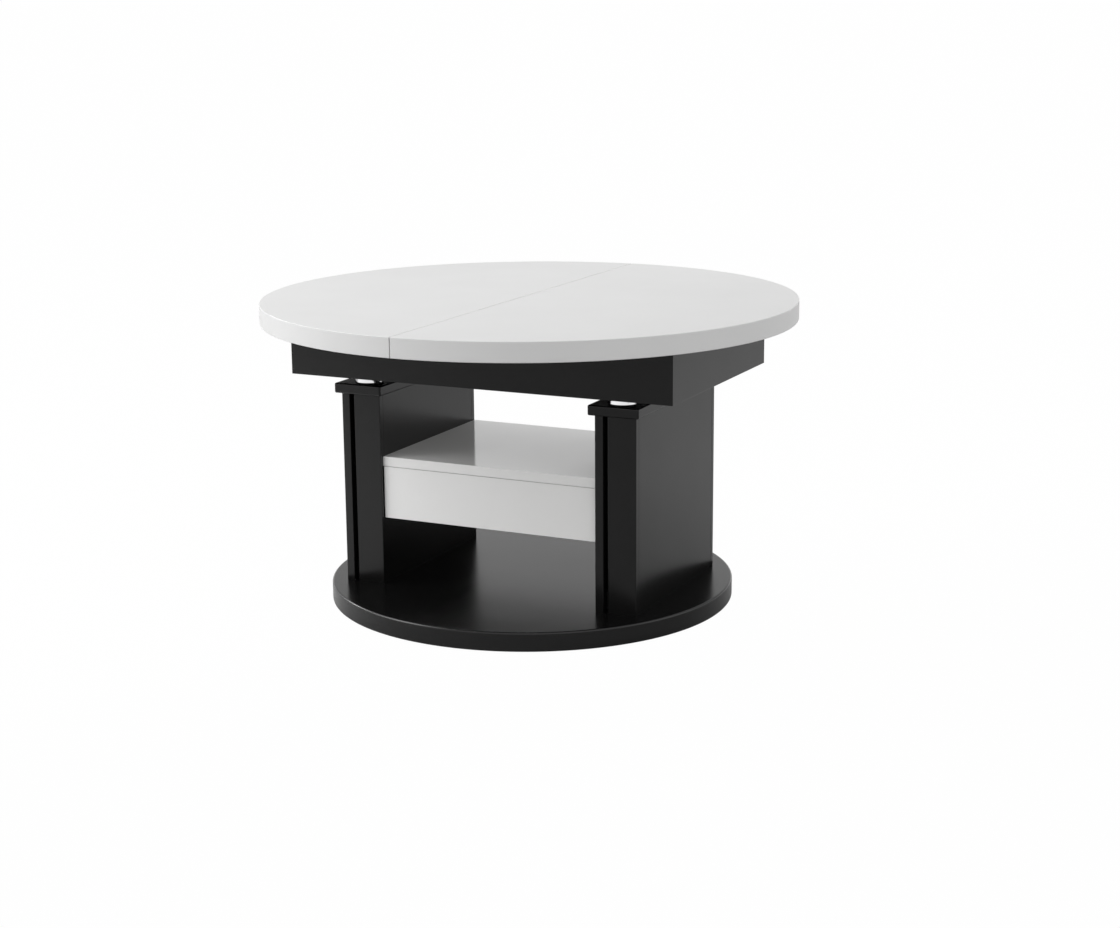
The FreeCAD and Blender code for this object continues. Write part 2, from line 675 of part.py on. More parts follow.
def pinion_shape():
    """The pinion's solid, its axis on Z: involute flanks as arcs through three of their points."""
    radius = pinion_radius.value
    base = radius * math.cos(PRESSURE_ANGLE)
    tip = radius + addendum.value
    root = radius - dedendum.value
    thickness = math.pi * s.gear_module.value / 2 - s.gear_backlash.value / 2

    def involute(angle):
        return math.tan(angle) - angle

    def half_angle(at):
        return thickness / (2 * radius) + involute(PRESSURE_ANGLE) - involute(math.acos(base / at))

    def point(at, angle):
        return FreeCAD.Vector(at * math.sin(angle), at * math.cos(angle), 0)

    step = 2 * math.pi / PINION_TEETH
    middle = (base + tip) / 2
    edges = []
    for i in range(PINION_TEETH):
        centre = step * i
        rising = [point(at, centre - half_angle(at)) for at in (base, middle, tip)]
        falling = [point(at, centre + half_angle(at)) for at in (tip, middle, base)]
        foot = point(root, centre - half_angle(base))
        heel = point(root, centre + half_angle(base))
        following = point(root, centre + step - half_angle(base))
        edges += [
            Part.LineSegment(foot, rising[0]).toShape(),
            Part.Arc(*rising).toShape(),
            Part.Arc(rising[2], point(tip, centre), falling[0]).toShape(),
            Part.Arc(*falling).toShape(),
            Part.LineSegment(falling[2], heel).toShape(),
            Part.Arc(heel, point(root, centre + step / 2), following).toShape(),
        ]
    blank = Part.Face(Part.Wire(edges)).extrude(FreeCAD.Vector(0, 0, s.pinion_width.value))
    bore = s.spindle_diameter.value / 2 + s.fit_gap.value
    return blank.cut(Part.makeCylinder(bore, s.pinion_width.value))


def make_slides():
    """The synchronised slides: what is made for the front is turned about Z for the rear."""
    rows = {
        "front": (("upper", "right", None), ("lower", "left", (0, 1, 0))),
        "rear": (("upper", "left", (0, 0, 1)), ("lower", "right", (1, 0, 0))),
    }
    brackets = {"left": [], "right": []}
    for end, y, tilt in (("front", -apron_inner_y, -90), ("rear", apron_inner_y, 90)):
        channels = []
        for row, half, turn in rows[end]:
            channels.append(channel(f"{end}_{row}_channel"))
            place(channels[-1], z=pinion_level, axis=turn, angle=180)
            place(rack_bar(f"{half}_{end}_rack"), z=pinion_level, axis=turn, angle=180)
            brackets[half].append(bracket(f"{half}_{end}_bracket", row))
            place(brackets[half][-1], axis=(0, 0, 1), angle=0 if end == "front" else 180)
        group(f"{end}_slide_channels", channels)

        pinion = doc.addObject("Part::Feature", f"{end}_pinion")
        pinion.Shape = pinion_shape()
        inwards = 1 if end == "front" else -1
        place(pinion, ZERO, y + pinion_outer * inwards, pinion_level, (1, 0, 0), tilt)
        nodes[pinion.Label] = pinion
        pin = turned(f"{end}_pinion_pin", pin_outline())
        place(pin, ZERO, y, pinion_level, (1, 0, 0), tilt)
        nodes[pin.Label] = pin
    for half, members in brackets.items():
        group(f"{half}_brackets", members)


def pin_outline():
    """The shouldered pin that a pinion turns on, standing on the apron's inner face."""
    foot = s.spindle_foot / 2
    shoulder = s.spindle_shoulder / 2
    spindle = s.spindle_diameter / 2
    step = pinion_outer - s.running_gap
    head = pinion_inner + s.running_gap
    end = head + s.spindle_head_height
    return [
        (ZERO, ZERO), (foot, ZERO), (foot, s.spindle_foot_height), (shoulder, s.spindle_foot_height),
        (shoulder, step), (spindle, step), (spindle, head), (shoulder, head), (shoulder, end), (ZERO, end),
    ]


def bracket(label, row):
    """The angle that hangs a bar from its half top, drawn at the front apron."""
    upper = row == "upper"
    face = bar_inner - apron_inner_y
    step = ZERO if upper else s.bracket_step
    inner = face + s.bracket_thickness + step
    tip = inner + s.bracket_flange
    shelf = top_low - s.bracket_thickness
    bar_edge = pinion_level + bar_low if upper else pinion_level - bar_low
    foot = bar_edge + s.running_gap if upper else pinion_level - bar_high
    outline = [(face, foot), (inner, foot), (inner, shelf), (tip, shelf), (tip, top_low)]
    if upper:
        outline += [(face, top_low)]
        start = s.bracket_start
    else:
        outline += [(face + step, top_low), (face + step, bar_edge), (face, bar_edge)]
        start = -s.bracket_start - s.bracket_length
    return prism(label, "X", outline, start, start + s.bracket_length)


def make_bay():
    """The white shelf, the panel behind the drawer, and the fixed drawer rails."""
    wide = (-bay_half, bay_half)
    board("shelf_panel", wide, (shelf_front, board_face), (shelf_low, shelf_high), is_straight)
    back_face = board_face - s.back_thickness
    board("back_panel", wide, (back_face, board_face), (front_low, shelf_low), is_straight)
    for side, sign in (("left", -1), ("right", 1)):
        web = bay_half * sign
        tip = (bay_half - s.rail_depth) * sign
        wall = s.rail_wall * -sign
        lipped_rail(f"{side}_drawer_rail", web, tip, wall, rail_low, rail_high)


def lipped_rail(label, web, tip, wall, low, high):
    """A rail of U section along the drawer, its web at one side and the tips of its lips at the other."""
    floor = low + s.rail_wall
    roof = high - s.rail_wall
    outline = [(web, low), (tip, low), (tip, floor), (web + wall, floor), (web + wall, roof), (tip, roof),
               (tip, high), (web, high)]
    nodes[label] = prism(label, "Y", outline, box_front, box_back)


def make_drawer():
    """The drawer: a front, two grooved sides, a back, a bottom and its runners."""
    front_half = bay_half - s.drawer_side_gap
    front_level = (front_low, front_high)
    board("drawer_front", (-front_half, front_half), (shelf_front, box_front), front_level, is_straight)
    inner = drawer_half - s.drawer_board
    bottom_low = box_low + s.drawer_bottom_lift
    bottom_high = bottom_low + s.drawer_bottom_thickness
    groove = inner + s.drawer_bottom_groove
    runner_low = rail_low + s.rail_wall + s.running_gap
    runner_high = rail_high - s.rail_wall - s.running_gap
    for side, sign in (("left", -1), ("right", 1)):
        outside = drawer_half * sign
        inside = inner * sign
        seat = groove * sign
        outline = [
            (outside, box_low), (inside, box_low), (inside, bottom_low), (seat, bottom_low),
            (seat, bottom_high), (inside, bottom_high), (inside, box_high), (outside, box_high),
        ]
        nodes[f"drawer_{side}_side"] = prism(f"drawer_{side}_side", "Y", outline, box_front, box_back)
        tip = (bay_half - s.rail_wall - s.running_gap) * sign
        lipped_rail(f"{side}_drawer_runner", outside, tip, s.rail_wall * sign, runner_low, runner_high)
    board("drawer_back", (-inner, inner), (box_back - s.drawer_board, box_back), (bottom_high, box_high))
    board("drawer_bottom", (-groove, groove), (box_front, box_back), (bottom_low, bottom_high))


def make_table():
    make_base()
    offset = bay_half + casing_half
    for side, centre in (("left", -offset), ("right", offset)):
        make_casing(side, centre)
        make_lift(side, centre)
    make_apron()
    make_half_top("left", -1)
    make_half_top("right", 1)
    make_seam_pins()
    make_leaves()
    make_slides()
    make_bay()
    make_drawer()
    doc.recompute()


def check_and_write():
    """Stops on any failed object or bad solid, then writes one file for each node."""
    failed = [item.Name for item in doc.Objects if {"Invalid", "Error"} & set(item.State)]
    failed += [label for label, item in nodes.items() if item.Shape.isNull() or not item.Shape.isValid()]
    if failed:
        raise RuntimeError(f"failed: {failed}")
    os.makedirs("parts", exist_ok=True)
    for label, item in nodes.items():
        item.Shape.exportStep(f"parts/{label}.step")
        print(f"{label:24s} solids {len(item.Shape.Solids)} volume {item.Shape.Volume:12.1f}")
    print(len(nodes), "nodes")


make_table()
check_and_write()
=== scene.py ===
"""Finishes a round lifting table in black and white lacquer and sets it in a white studio.

Boards, discs and turned pieces are made again with eased edges, the inner mechanism keeps its
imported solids, and every piece gets its own finish. Lengths are metres in the table's own frame:
+Z is up, the half tops draw apart along X, and the drawer opens towards -Y.
"""

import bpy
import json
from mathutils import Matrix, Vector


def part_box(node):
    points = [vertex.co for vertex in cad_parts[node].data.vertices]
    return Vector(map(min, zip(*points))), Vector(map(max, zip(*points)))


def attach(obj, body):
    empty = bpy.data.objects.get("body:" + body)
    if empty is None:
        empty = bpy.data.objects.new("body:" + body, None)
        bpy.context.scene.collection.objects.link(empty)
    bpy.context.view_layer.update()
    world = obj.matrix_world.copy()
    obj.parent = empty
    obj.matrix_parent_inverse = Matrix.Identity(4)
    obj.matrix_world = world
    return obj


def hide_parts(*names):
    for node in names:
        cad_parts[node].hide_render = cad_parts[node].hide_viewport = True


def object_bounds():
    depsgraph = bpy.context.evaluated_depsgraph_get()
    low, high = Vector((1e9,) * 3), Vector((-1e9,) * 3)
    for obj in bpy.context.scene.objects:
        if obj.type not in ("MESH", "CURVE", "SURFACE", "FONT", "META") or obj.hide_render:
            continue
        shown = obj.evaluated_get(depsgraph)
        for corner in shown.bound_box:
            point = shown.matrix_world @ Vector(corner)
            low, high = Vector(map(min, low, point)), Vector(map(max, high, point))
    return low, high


bl_info = {
    "name": "Convertible Coffee Dining Table",
    "version": (1, 0, 0),
    "blender": (4, 5, 0),
    "location": "View3D > Sidebar > Table",
    "description": "Finishes a round lifting table in lacquer and chrome and sets it in a white studio",
    "category": "Object",
}

import json
import math

import bmesh
import bpy
from bpy.props import FloatProperty, FloatVectorProperty, IntProperty, PointerProperty
from mathutils import Matrix, Vector

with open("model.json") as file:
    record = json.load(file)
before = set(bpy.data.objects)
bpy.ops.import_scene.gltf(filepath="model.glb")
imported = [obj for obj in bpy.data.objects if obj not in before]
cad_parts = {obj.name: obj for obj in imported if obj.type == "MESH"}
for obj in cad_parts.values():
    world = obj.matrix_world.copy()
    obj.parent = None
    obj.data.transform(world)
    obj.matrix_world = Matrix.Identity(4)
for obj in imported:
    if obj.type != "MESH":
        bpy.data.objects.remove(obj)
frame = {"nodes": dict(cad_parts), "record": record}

CAD_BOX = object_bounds()
BODY_OF = {node: body for body, nodes in frame["record"]["behaviour"]["bodies"].items() for node in nodes}
SLOT_OF = {row["node"]: row["material_slot"] for row in frame["record"]["subparts"]}
SIDES = ("left", "right")
ENDS = ("front", "rear")
SHARP_ANGLE = math.radians(40)
SAME_SPOT = 0.00001
SAME_WAY_SHARE = 0.999
CLOUD_SHARE = 0.03
PEEL_STRENGTH = 0.12
HEAD_CROWN_SHARE = 0.72
BRACKET_SCREW_SHARES = (0.15, 0.5, 0.85)


def colour(name, description, default):
    return FloatVectorProperty(
        name=name, description=description, subtype="COLOR", min=0, max=1, default=default)


def share(name, description, default):
    return FloatProperty(
        name=name, description=description, subtype="FACTOR", min=0, max=1, default=default)


def length(name, description, default):
    return FloatProperty(
        name=name, description=description, unit="LENGTH", min=0, precision=4, default=default)


def offset(name, description, default):
    return FloatProperty(name=name, description=description, unit="LENGTH", default=default)


def angle(name, description, degrees):
    return FloatProperty(name=name, description=description, subtype="ANGLE", default=math.radians(degrees))


def place(name, description, default):
    return FloatVectorProperty(
        name=name, description=description, subtype="TRANSLATION", unit="LENGTH", default=default)


def count(name, description, least, default):
    return IntProperty(name=name, description=description, min=least, default=default)


def brightness(name, description, default):
    return FloatProperty(name=name, description=description, min=0, default=default)


def cosine(name, description, default):
    return FloatProperty(name=name, description=description, min=-1, max=1, default=default)


def power(name, description, watts):
    return FloatProperty(name=name, description=description, unit="POWER", min=0, default=watts)


class TableFinishes(bpy.types.PropertyGroup):
    """Colours and gloss of the table's materials."""

    black: colour("Black lacquer", "Base plate, casings and apron", (0.003, 0.003, 0.003))
    black_roughness: share("Black roughness", "Satin of the black lacquer", 0.22)
    white: colour("White lacquer", "Table top and leaves", (0.772, 0.772, 0.769))
    white_roughness: share("White roughness", "Satin of the white lacquer", 0.36)
    gloss: colour("Gloss white", "Shelf, drawer front and back panel", (0.94, 0.937, 0.928))
    gloss_roughness: share("Gloss roughness", "Polish of the gloss white", 0.09)
    melamine: colour("Melamine", "Drawer box", (0.72, 0.72, 0.71))
    chrome: colour("Chrome", "Lifting columns, their collars and gas rods", (0.8, 0.8, 0.81))
    zinc: colour("Zinc", "Racks, channels and drawer rails", (0.6, 0.61, 0.63))
    powder: colour("Powder coat", "Column flanges and gas springs", (0.02, 0.02, 0.02))
    nylon: colour("Nylon", "Glides and slip strips", (0.025, 0.025, 0.025))
    beech: colour("Beech", "Pins in the seam", (0.58, 0.4, 0.23))


class TableEdges(bpy.types.PropertyGroup):
    """Roundings of the edges and fineness of the round pieces."""

    top_round: length("Top rim", "Rounding of the table top's rim", 0.0015)
    base_round: length("Base rim", "Rounding of the base plate's rim", 0.004)
    seam_break: length("Seam edge", "Broken edge of the half tops along the seam", 0.001)
    seam_open: length("Seam opening", "How far each half top is cut back along the seam", 0.0005)
    board_ease: length("Casing boards", "Eased edges of the casing boards", 0.001)
    slot_round: length("Slot edge", "Rounded edge of the casings' end boards at the slot", 0.004)
    apron_ease: length("Apron boards", "Eased long edges of the apron boards", 0.0008)
    gloss_ease: length("Gloss boards", "Eased edges of the shelf, back panel and drawer front", 0.0002)
    column_wall: length("Column wall", "Wall of the chromed column tubes", 0.002)
    bush_wall: length("Bush wall", "Wall of the guide bushes inside the cap plates", 0.003)
    bush_play: length("Bush play", "Guide bush off its column", 0.00005)
    collar_round: length("Collar rounding", "Rounded lip of the chromed collars", 0.0015)
    collar_taper: length("Collar taper", "Chromed collars drawn in towards their lips", 0.0012)
    round_steps: count("Rounding steps", "Faces across a rounded rim", 1, 6)
    slot_steps: count("Slot steps", "Faces across the slot's edge", 1, 12)
    ease_steps: count("Ease steps", "Faces across an eased edge", 1, 3)
    disc_steps: count("Disc steps", "Faces round the top and the base", 24, 288)
    tube_steps: count("Tube steps", "Faces round a column", 12, 96)


class TableFixings(bpy.types.PropertyGroup):
    """Screw heads and glides, which repeat on the undersides."""

    head_diameter: length("Screw head", "Diameter of a screw head", 0.0085)
    head_height: length("Head height", "Height of a raised screw head", 0.0022)
    sunk_height: length("Sunk head", "How far a sunk screw head stands proud", 0.0004)
    recess_length: length("Recess length", "Cross recess from arm to arm", 0.0048)
    recess_width: length("Recess width", "Width of an arm of the cross recess", 0.0012)
    flange_inset: length("Flange inset", "Screws from the edges of a column flange", 0.009)
    plate_circle: length("Plate circle", "Radius of the screws in a gas rod's plate", 0.014)
    bracket_sheet: length("Bracket sheet", "Sheet of a slide bracket", 0.003)
    bracket_inset: length("Bracket inset", "Screws from the outer face of a slide bracket", 0.0165)
    panel_inset: length("Panel inset", "Screws under the base from the ends of a casing panel", 0.045)
    glide_taper: length("Glide taper", "Lower edge of a glide drawn in", 0.0012)
    glide_count: count("Glides", "Glides under the base plate", 3, 6)


class TableStudio(bpy.types.PropertyGroup):
    """Camera, floor and light."""

    camera_place: place("Camera", "Place of the camera", (1.70528, -3.4164, 1.13778))
    camera_turn: angle("Camera turn", "Turn of the camera about the upright", 25.7096)
    camera_tilt: angle("Camera tilt", "Tilt of the camera up from straight down", 76.9216)
    camera_roll: angle("Camera roll", "Roll of the camera about its view", -0.4344)
    lens: FloatProperty(name="Lens", description="Focal length", unit="CAMERA", default=66.3345)
    sensor: FloatProperty(name="Sensor", description="Width of the sensor", unit="CAMERA", default=36)
    floor_size: length("Floor", "Side of the floor", 240)
    # Painted shade: the floor's colour is darker to the front and right, and this shows only in reflections
    # and bounced light.
    floor_painted_shade: share("Dark floor", "Paleness of the floor to the front and right", 0.35)
    floor_pale: share("Pale floor", "Paleness of the rest of the floor", 0.76)
    floor_even: share("Even white", "Share of the floor's look that the light doesn't change", 0.99)
    floor_start: offset("Floor fade start", "Where the floor starts to darken, from the middle", -0.15)
    floor_end: offset("Floor fade end", "Where the floor is darkest, from the middle", 0.65)
    back_wall: brightness("Back wall", "Brightness behind the table", 0.47)
    back_glow: brightness("Back glow", "Brightness low down behind the table", 1.13)
    glow_low: cosine("Glow fade start", "Cosine off the upright where the low glow starts to fade", 0.215)
    glow_high: cosine("Glow fade end", "Cosine off the upright where the low glow ends", 0.25)
    front_wall: brightness("Front wall", "Brightness before the table", 0.99)
    front_start: cosine("Front start", "Cosine off the front wall's middle where the wall starts", -0.3)
    front_bearing: angle("Front bearing", "Where the front wall stands, from -Y towards +X", 48)
    lamp_size: length("Lamps", "Side of the left and right lamps", 2.4)
    key_power: power("Key", "Power of the left lamp", 90)
    key_place: place("Key place", "Place of the left lamp", (-2.97, -1.55, 2.75))
    fill_power: power("Fill", "Power of the right lamp", 7.7)
    fill_place: place("Fill place", "Place of the right lamp", (3.2, 1, 1.8))
    edge_size: length("Edge lamp", "Side of the lamp that draws the base plate's left edge", 0.8)
    edge_power: power("Edge", "Power of the edge lamp", 20)
    edge_place: place("Edge place", "Place of the edge lamp", (-3, 0.5, 1.6))
    rear_size: length("Rear lamp", "Side of the low lamp behind", 0.6)
    rear_spread: angle("Rear spread", "How far the low lamp's light fans out", 40)
    rear_power: power("Rear", "Power of the low lamp", 1.1)
    rear_place: place("Rear place", "Place of the low lamp behind", (0.6, 2.4, 0.95))


def add_node(tree, kind, settings=None, inputs=None):
    """A node with its settings, and its inputs as plain values or linked from other nodes."""
    node = tree.nodes.new(kind)
    for name, value in (settings or {}).items():
        setattr(node, name, value)
    for name, value in (inputs or {}).items():
        if isinstance(value, bpy.types.NodeSocket):
            tree.links.new(value, node.inputs[name])
        else:
            node.inputs[name].default_value = value
    return node


def calculate(tree, operation, first, second):
    """The output of a sum, product or other calculation."""
    return add_node(tree, "ShaderNodeMath", {"operation": operation}, {0: first, 1: second}).outputs[0]


def new_group(name, kind, inputs, outputs):
    """A node group with named sockets, and the ends that its nodes are linked to."""
    tree = bpy.data.node_groups.new(name, kind)
    for label, socket in inputs.items():
        tree.interface.new_socket(label, in_out="INPUT", socket_type=f"NodeSocket{socket}")
    for label, socket in outputs.items():
        tree.interface.new_socket(label, in_out="OUTPUT", socket_type=f"NodeSocket{socket}")
    return tree, tree.nodes.new("NodeGroupInput").outputs, tree.nodes.new("NodeGroupOutput").inputs


def sprayed_skin():
    """Sprayed coats: faint clouds in the colour, smudges in the gloss and a fine orange peel."""
    found = bpy.data.node_groups.get("Sprayed Skin")
    if found:
        return found
    inputs = {"Vector": "Vector", "Colour": "Color", "Clouds": "Float", "Roughness": "Float",
              "Smudges": "Float", "Peel Scale": "Float"}
    outputs = {"Colour": "Color", "Roughness": "Float", "Height": "Float"}
    tree, given, made = new_group("Sprayed Skin", "ShaderNodeTree", inputs, outputs)
    clouds = add_node(tree, "ShaderNodeTexNoise", inputs={
        "Vector": given["Vector"], "Scale": 4, "Detail": 3})
    level = add_node(tree, "ShaderNodeMapRange", inputs={
        "Value": clouds.outputs["Fac"], "From Min": 0.3, "From Max": 0.7,
        "To Min": calculate(tree, "SUBTRACT", 1, given["Clouds"]), "To Max": 1})
    tinted = add_node(tree, "ShaderNodeVectorMath", {"operation": "SCALE"}, {
        0: given["Colour"], "Scale": level.outputs["Result"]})
    smudges = add_node(tree, "ShaderNodeTexNoise", inputs={
        "Vector": given["Vector"], "Scale": 11, "Detail": 5, "Roughness": 0.6})
    gloss = add_node(tree, "ShaderNodeMapRange", inputs={
        "Value": smudges.outputs["Fac"], "From Min": 0.35, "From Max": 0.75, "To Min": given["Roughness"],
        "To Max": calculate(tree, "ADD", given["Roughness"], given["Smudges"])})
    peel = add_node(tree, "ShaderNodeTexNoise", inputs={
        "Vector": given["Vector"], "Scale": given["Peel Scale"], "Detail": 2})
    tree.links.new(tinted.outputs[0], made["Colour"])
    tree.links.new(gloss.outputs["Result"], made["Roughness"])
    tree.links.new(peel.outputs["Fac"], made["Height"])
    return tree


def drawn_metal():
    """Worked metal: fine lines along one direction and a mottled gloss."""
    found = bpy.data.node_groups.get("Drawn Metal")
    if found:
        return found
    inputs = {"Vector": "Vector", "Stretch": "Vector", "Roughness": "Float", "Mottle": "Float"}
    outputs = {"Roughness": "Float", "Height": "Float"}
    tree, given, made = new_group("Drawn Metal", "ShaderNodeTree", inputs, outputs)
    drawn = add_node(tree, "ShaderNodeVectorMath", {"operation": "MULTIPLY"}, {
        0: given["Vector"], 1: given["Stretch"]})
    lines = add_node(tree, "ShaderNodeTexNoise", inputs={
        "Vector": drawn.outputs[0], "Scale": 1, "Detail": 4})
    spots = add_node(tree, "ShaderNodeTexVoronoi", inputs={"Vector": given["Vector"], "Scale": 160})
    mottle = calculate(tree, "MULTIPLY", lines.outputs["Fac"], spots.outputs["Distance"])
    gloss = add_node(tree, "ShaderNodeMapRange", inputs={
        "Value": mottle, "From Min": 0, "From Max": 0.5, "To Min": given["Roughness"],
        "To Max": calculate(tree, "ADD", given["Roughness"], given["Mottle"])})
    tree.links.new(gloss.outputs["Result"], made["Roughness"])
    tree.links.new(lines.outputs["Fac"], made["Height"])
    return tree


def new_finish(slot):
    """A new material for a slot of the record, its shader and the piece's own coordinates."""
    material = bpy.data.materials.new(f"finish_{slot}")
    material.use_nodes = True
    tree = material.node_tree
    shader = next(node for node in tree.nodes if node.type == "BSDF_PRINCIPLED")
    return material, tree, shader, add_node(tree, "ShaderNodeTexCoord").outputs["Object"]


def raise_grain(tree, shader, height, strength, depth):
    """Feeds a height to the shader's normal."""
    bump = add_node(tree, "ShaderNodeBump", inputs={
        "Strength": strength, "Distance": depth, "Height": height})
    tree.links.new(bump.outputs["Normal"], shader.inputs["Normal"])


def coated(slot, tint, roughness, smudges, peel_scale, peel_depth, ior=1.5, deep=False):
    """A sprayed or moulded finish: lacquer, melamine, powder coat or nylon.

    A deep one looks dull in other pieces' reflections, so that boards that face each other stay deep
    in colour.
    """
    material, tree, shader, spot = new_finish(slot)
    skin = add_node(tree, "ShaderNodeGroup", {"node_tree": sprayed_skin()}, {
        "Vector": spot, "Colour": (*tint, 1), "Clouds": CLOUD_SHARE, "Roughness": roughness,
        "Smudges": smudges, "Peel Scale": peel_scale})
    gloss = skin.outputs["Roughness"]
    if deep:
        mirrored = add_node(tree, "ShaderNodeLightPath").outputs["Is Glossy Ray"]
        gloss = calculate(tree, "MAXIMUM", gloss, mirrored)
    tree.links.new(skin.outputs["Colour"], shader.inputs["Base Color"])
    tree.links.new(gloss, shader.inputs["Roughness"])
    raise_grain(tree, shader, skin.outputs["Height"], PEEL_STRENGTH, peel_depth)
    shader.inputs["IOR"].default_value = ior
    return material


def plated(slot, tint, roughness, mottle, stretch, line_strength=0.04, line_depth=0.0002):
    """A metal finish: polished chrome or zinc plate."""
    material, tree, shader, spot = new_finish(slot)
    skin = add_node(tree, "ShaderNodeGroup", {"node_tree": drawn_metal()}, {
        "Vector": spot, "Stretch": stretch, "Roughness": roughness, "Mottle": mottle})
    tree.links.new(skin.outputs["Roughness"], shader.inputs["Roughness"])
    raise_grain(tree, shader, skin.outputs["Height"], line_strength, line_depth)
    shader.inputs["Base Color"].default_value = (*tint, 1)
    shader.inputs["Metallic"].default_value = 1
    return material


def turned_beech(slot, tint, roughness, stretch, dark_share, grain_strength, grain_depth):
    """Plain beech, its grain along the pins."""
    material, tree, shader, spot = new_finish(slot)
    grain = add_node(tree, "ShaderNodeVectorMath", {"operation": "MULTIPLY"}, {0: spot, 1: stretch})
    streaks = add_node(tree, "ShaderNodeTexNoise", inputs={
        "Vector": grain.outputs[0], "Scale": 1, "Detail": 4})
    stain = add_node(tree, "ShaderNodeValToRGB", inputs={"Fac": streaks.outputs["Fac"]})
    stain.color_ramp.elements[0].color = (*(value * dark_share for value in tint), 1)
    stain.color_ramp.elements[1].color = (*tint, 1)
    tree.links.new(stain.outputs["Color"], shader.inputs["Base Color"])
    raise_grain(tree, shader, streaks.outputs["Fac"], grain_strength, grain_depth)
    shader.inputs["Roughness"].default_value = roughness
    return material


def finish_of(slot):
    """The material of a slot of the record, made once."""
    found = bpy.data.materials.get(f"finish_{slot}")
    if found:
        return found
    looks = bpy.context.scene.table_finishes
    if slot == "black_lacquer":
        return coated(slot, looks.black, looks.black_roughness, smudges=0.04, peel_scale=420,
                      peel_depth=0.0002, deep=True)
    if slot == "white_lacquer":
        return coated(slot, looks.white, looks.white_roughness, smudges=0.05, peel_scale=420,
                      peel_depth=0.0002)
    if slot == "gloss_white":
        return coated(slot, looks.gloss, looks.gloss_roughness, smudges=0.03, peel_scale=260,
                      peel_depth=0.00012, ior=2.1, deep=True)
    if slot == "drawer_board":
        return coated(slot, looks.melamine, roughness=0.5, smudges=0.1, peel_scale=900, peel_depth=0.0004)
    if slot == "chrome":
        return plated(slot, looks.chrome, roughness=0.05, mottle=0.06, stretch=(60, 60, 900))
    if slot == "zinc_steel":
        return plated(slot, looks.zinc, roughness=0.28, mottle=0.2, stretch=(20, 900, 900))
    if slot == "black_steel":
        return coated(slot, looks.powder, roughness=0.55, smudges=0.1, peel_scale=1300, peel_depth=0.0006)
    if slot == "nylon":
        return coated(slot, looks.nylon, roughness=0.5, smudges=0.1, peel_scale=1600, peel_depth=0.0005)
    if slot == "dowel_wood":
        return turned_beech(slot, looks.beech, roughness=0.55, stretch=(30, 700, 700), dark_share=0.6,
                            grain_strength=0.2, grain_depth=0.0003)
    raise ValueError(f"no finish for the slot {slot}")


def paint(*nodes):
    """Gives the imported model's own pieces their finish."""
    for node in nodes:
        for holder in frame["nodes"][node].material_slots:
            holder.material = finish_of(SLOT_OF[node])


def add_piece(name, mesh, body, slot):
    """A mesh as a piece of the table that moves with a body."""
    piece = bpy.data.objects.new(name, mesh)
    bpy.context.scene.collection.objects.link(piece)
    if not mesh.materials:
        mesh.materials.append(finish_of(slot))
    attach(piece, body)
    return piece


def dress(node, shape):
    """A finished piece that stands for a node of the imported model."""
    mesh = bpy.data.meshes.new(f"{node}_finished")
    bmesh.ops.recalc_face_normals(shape, faces=shape.faces)
    shape.to_mesh(mesh)
    shape.free()
    mesh.shade_smooth()
    mesh.set_sharp_from_angle(angle=SHARP_ANGLE)
    piece = add_piece(mesh.name, mesh, BODY_OF[node], SLOT_OF[node])
    flats = piece.modifiers.new("Keep flats flat", "WEIGHTED_NORMAL")
    flats.weight = 100
    flats.keep_sharp = True
    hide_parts(node)


def ease(shape, edges, width, steps):
    """Rounds some edges of a shape."""
    bmesh.ops.bevel(shape, geom=edges, offset=width, offset_type="OFFSET", segments=steps, profile=0.5,
                    affect="EDGES", clamp_overlap=True)


def plain_board(node):
    """A node's board with sharp edges."""
    low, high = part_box(node)
    shape = bmesh.new()
    spread = Matrix.Translation((low + high) / 2) @ Matrix.Diagonal((*(high - low), 1))
    bmesh.ops.create_cube(shape, size=1, matrix=spread)
    return shape


def edges_along(shape, direction):
    """The edges of a shape that run along a direction."""
    runs = [(edge, (edge.verts[1].co - edge.verts[0].co).normalized()) for edge in shape.edges]
    return [edge for edge, run in runs if abs(run.dot(Vector(direction))) > SAME_WAY_SHARE]


def prism(outline, low, high):
    """An upright prism on an outline of X and Y."""
    shape = bmesh.new()
    lower = [shape.verts.new((x, y, low)) for x, y in outline]
    upper = [shape.verts.new((x, y, high)) for x, y in outline]
    shape.faces.new(lower)
    shape.faces.new(upper)
    for i in range(len(outline)):
        shape.faces.new((lower[i - 1], lower[i], upper[i], upper[i - 1]))
    return shape


def turned(profile, steps, centre=(0, 0), tube=False, shape=None):
    """A shape turned from radii and heights; a tube closes on itself, and a disc gets flat faces."""
    shape = shape or bmesh.new()
    rings = []
    for radius, height in profile:
        spots = [(centre[0] + radius * math.cos(2 * math.pi * i / steps),
                  centre[1] + radius * math.sin(2 * math.pi * i / steps), height) for i in range(steps)]
        rings.append([shape.verts.new(spot) for spot in spots])
    pairs = list(zip(rings, rings[1:]))
    if tube:
        pairs.append((rings[-1], rings[0]))
    else:
        shape.faces.new(rings[0])
        shape.faces.new(rings[-1])
    for lower, upper in pairs:
        for i in range(steps):
            shape.faces.new((lower[i - 1], lower[i], upper[i], upper[i - 1]))
    return shape


def rounded_rim(radius, low, high, rounding, steps):
    """The profile of a disc with a rounded rim, from its lower face to its upper face."""
    inner = radius - rounding
    bends = [math.pi / 2 * i / steps for i in range(steps + 1)]
    lower = [(inner + rounding * math.sin(b), low + rounding - rounding * math.cos(b)) for b in bends]
    upper = [(inner + rounding * math.cos(b), high - rounding + rounding * math.sin(b)) for b in bends]
    return lower + upper


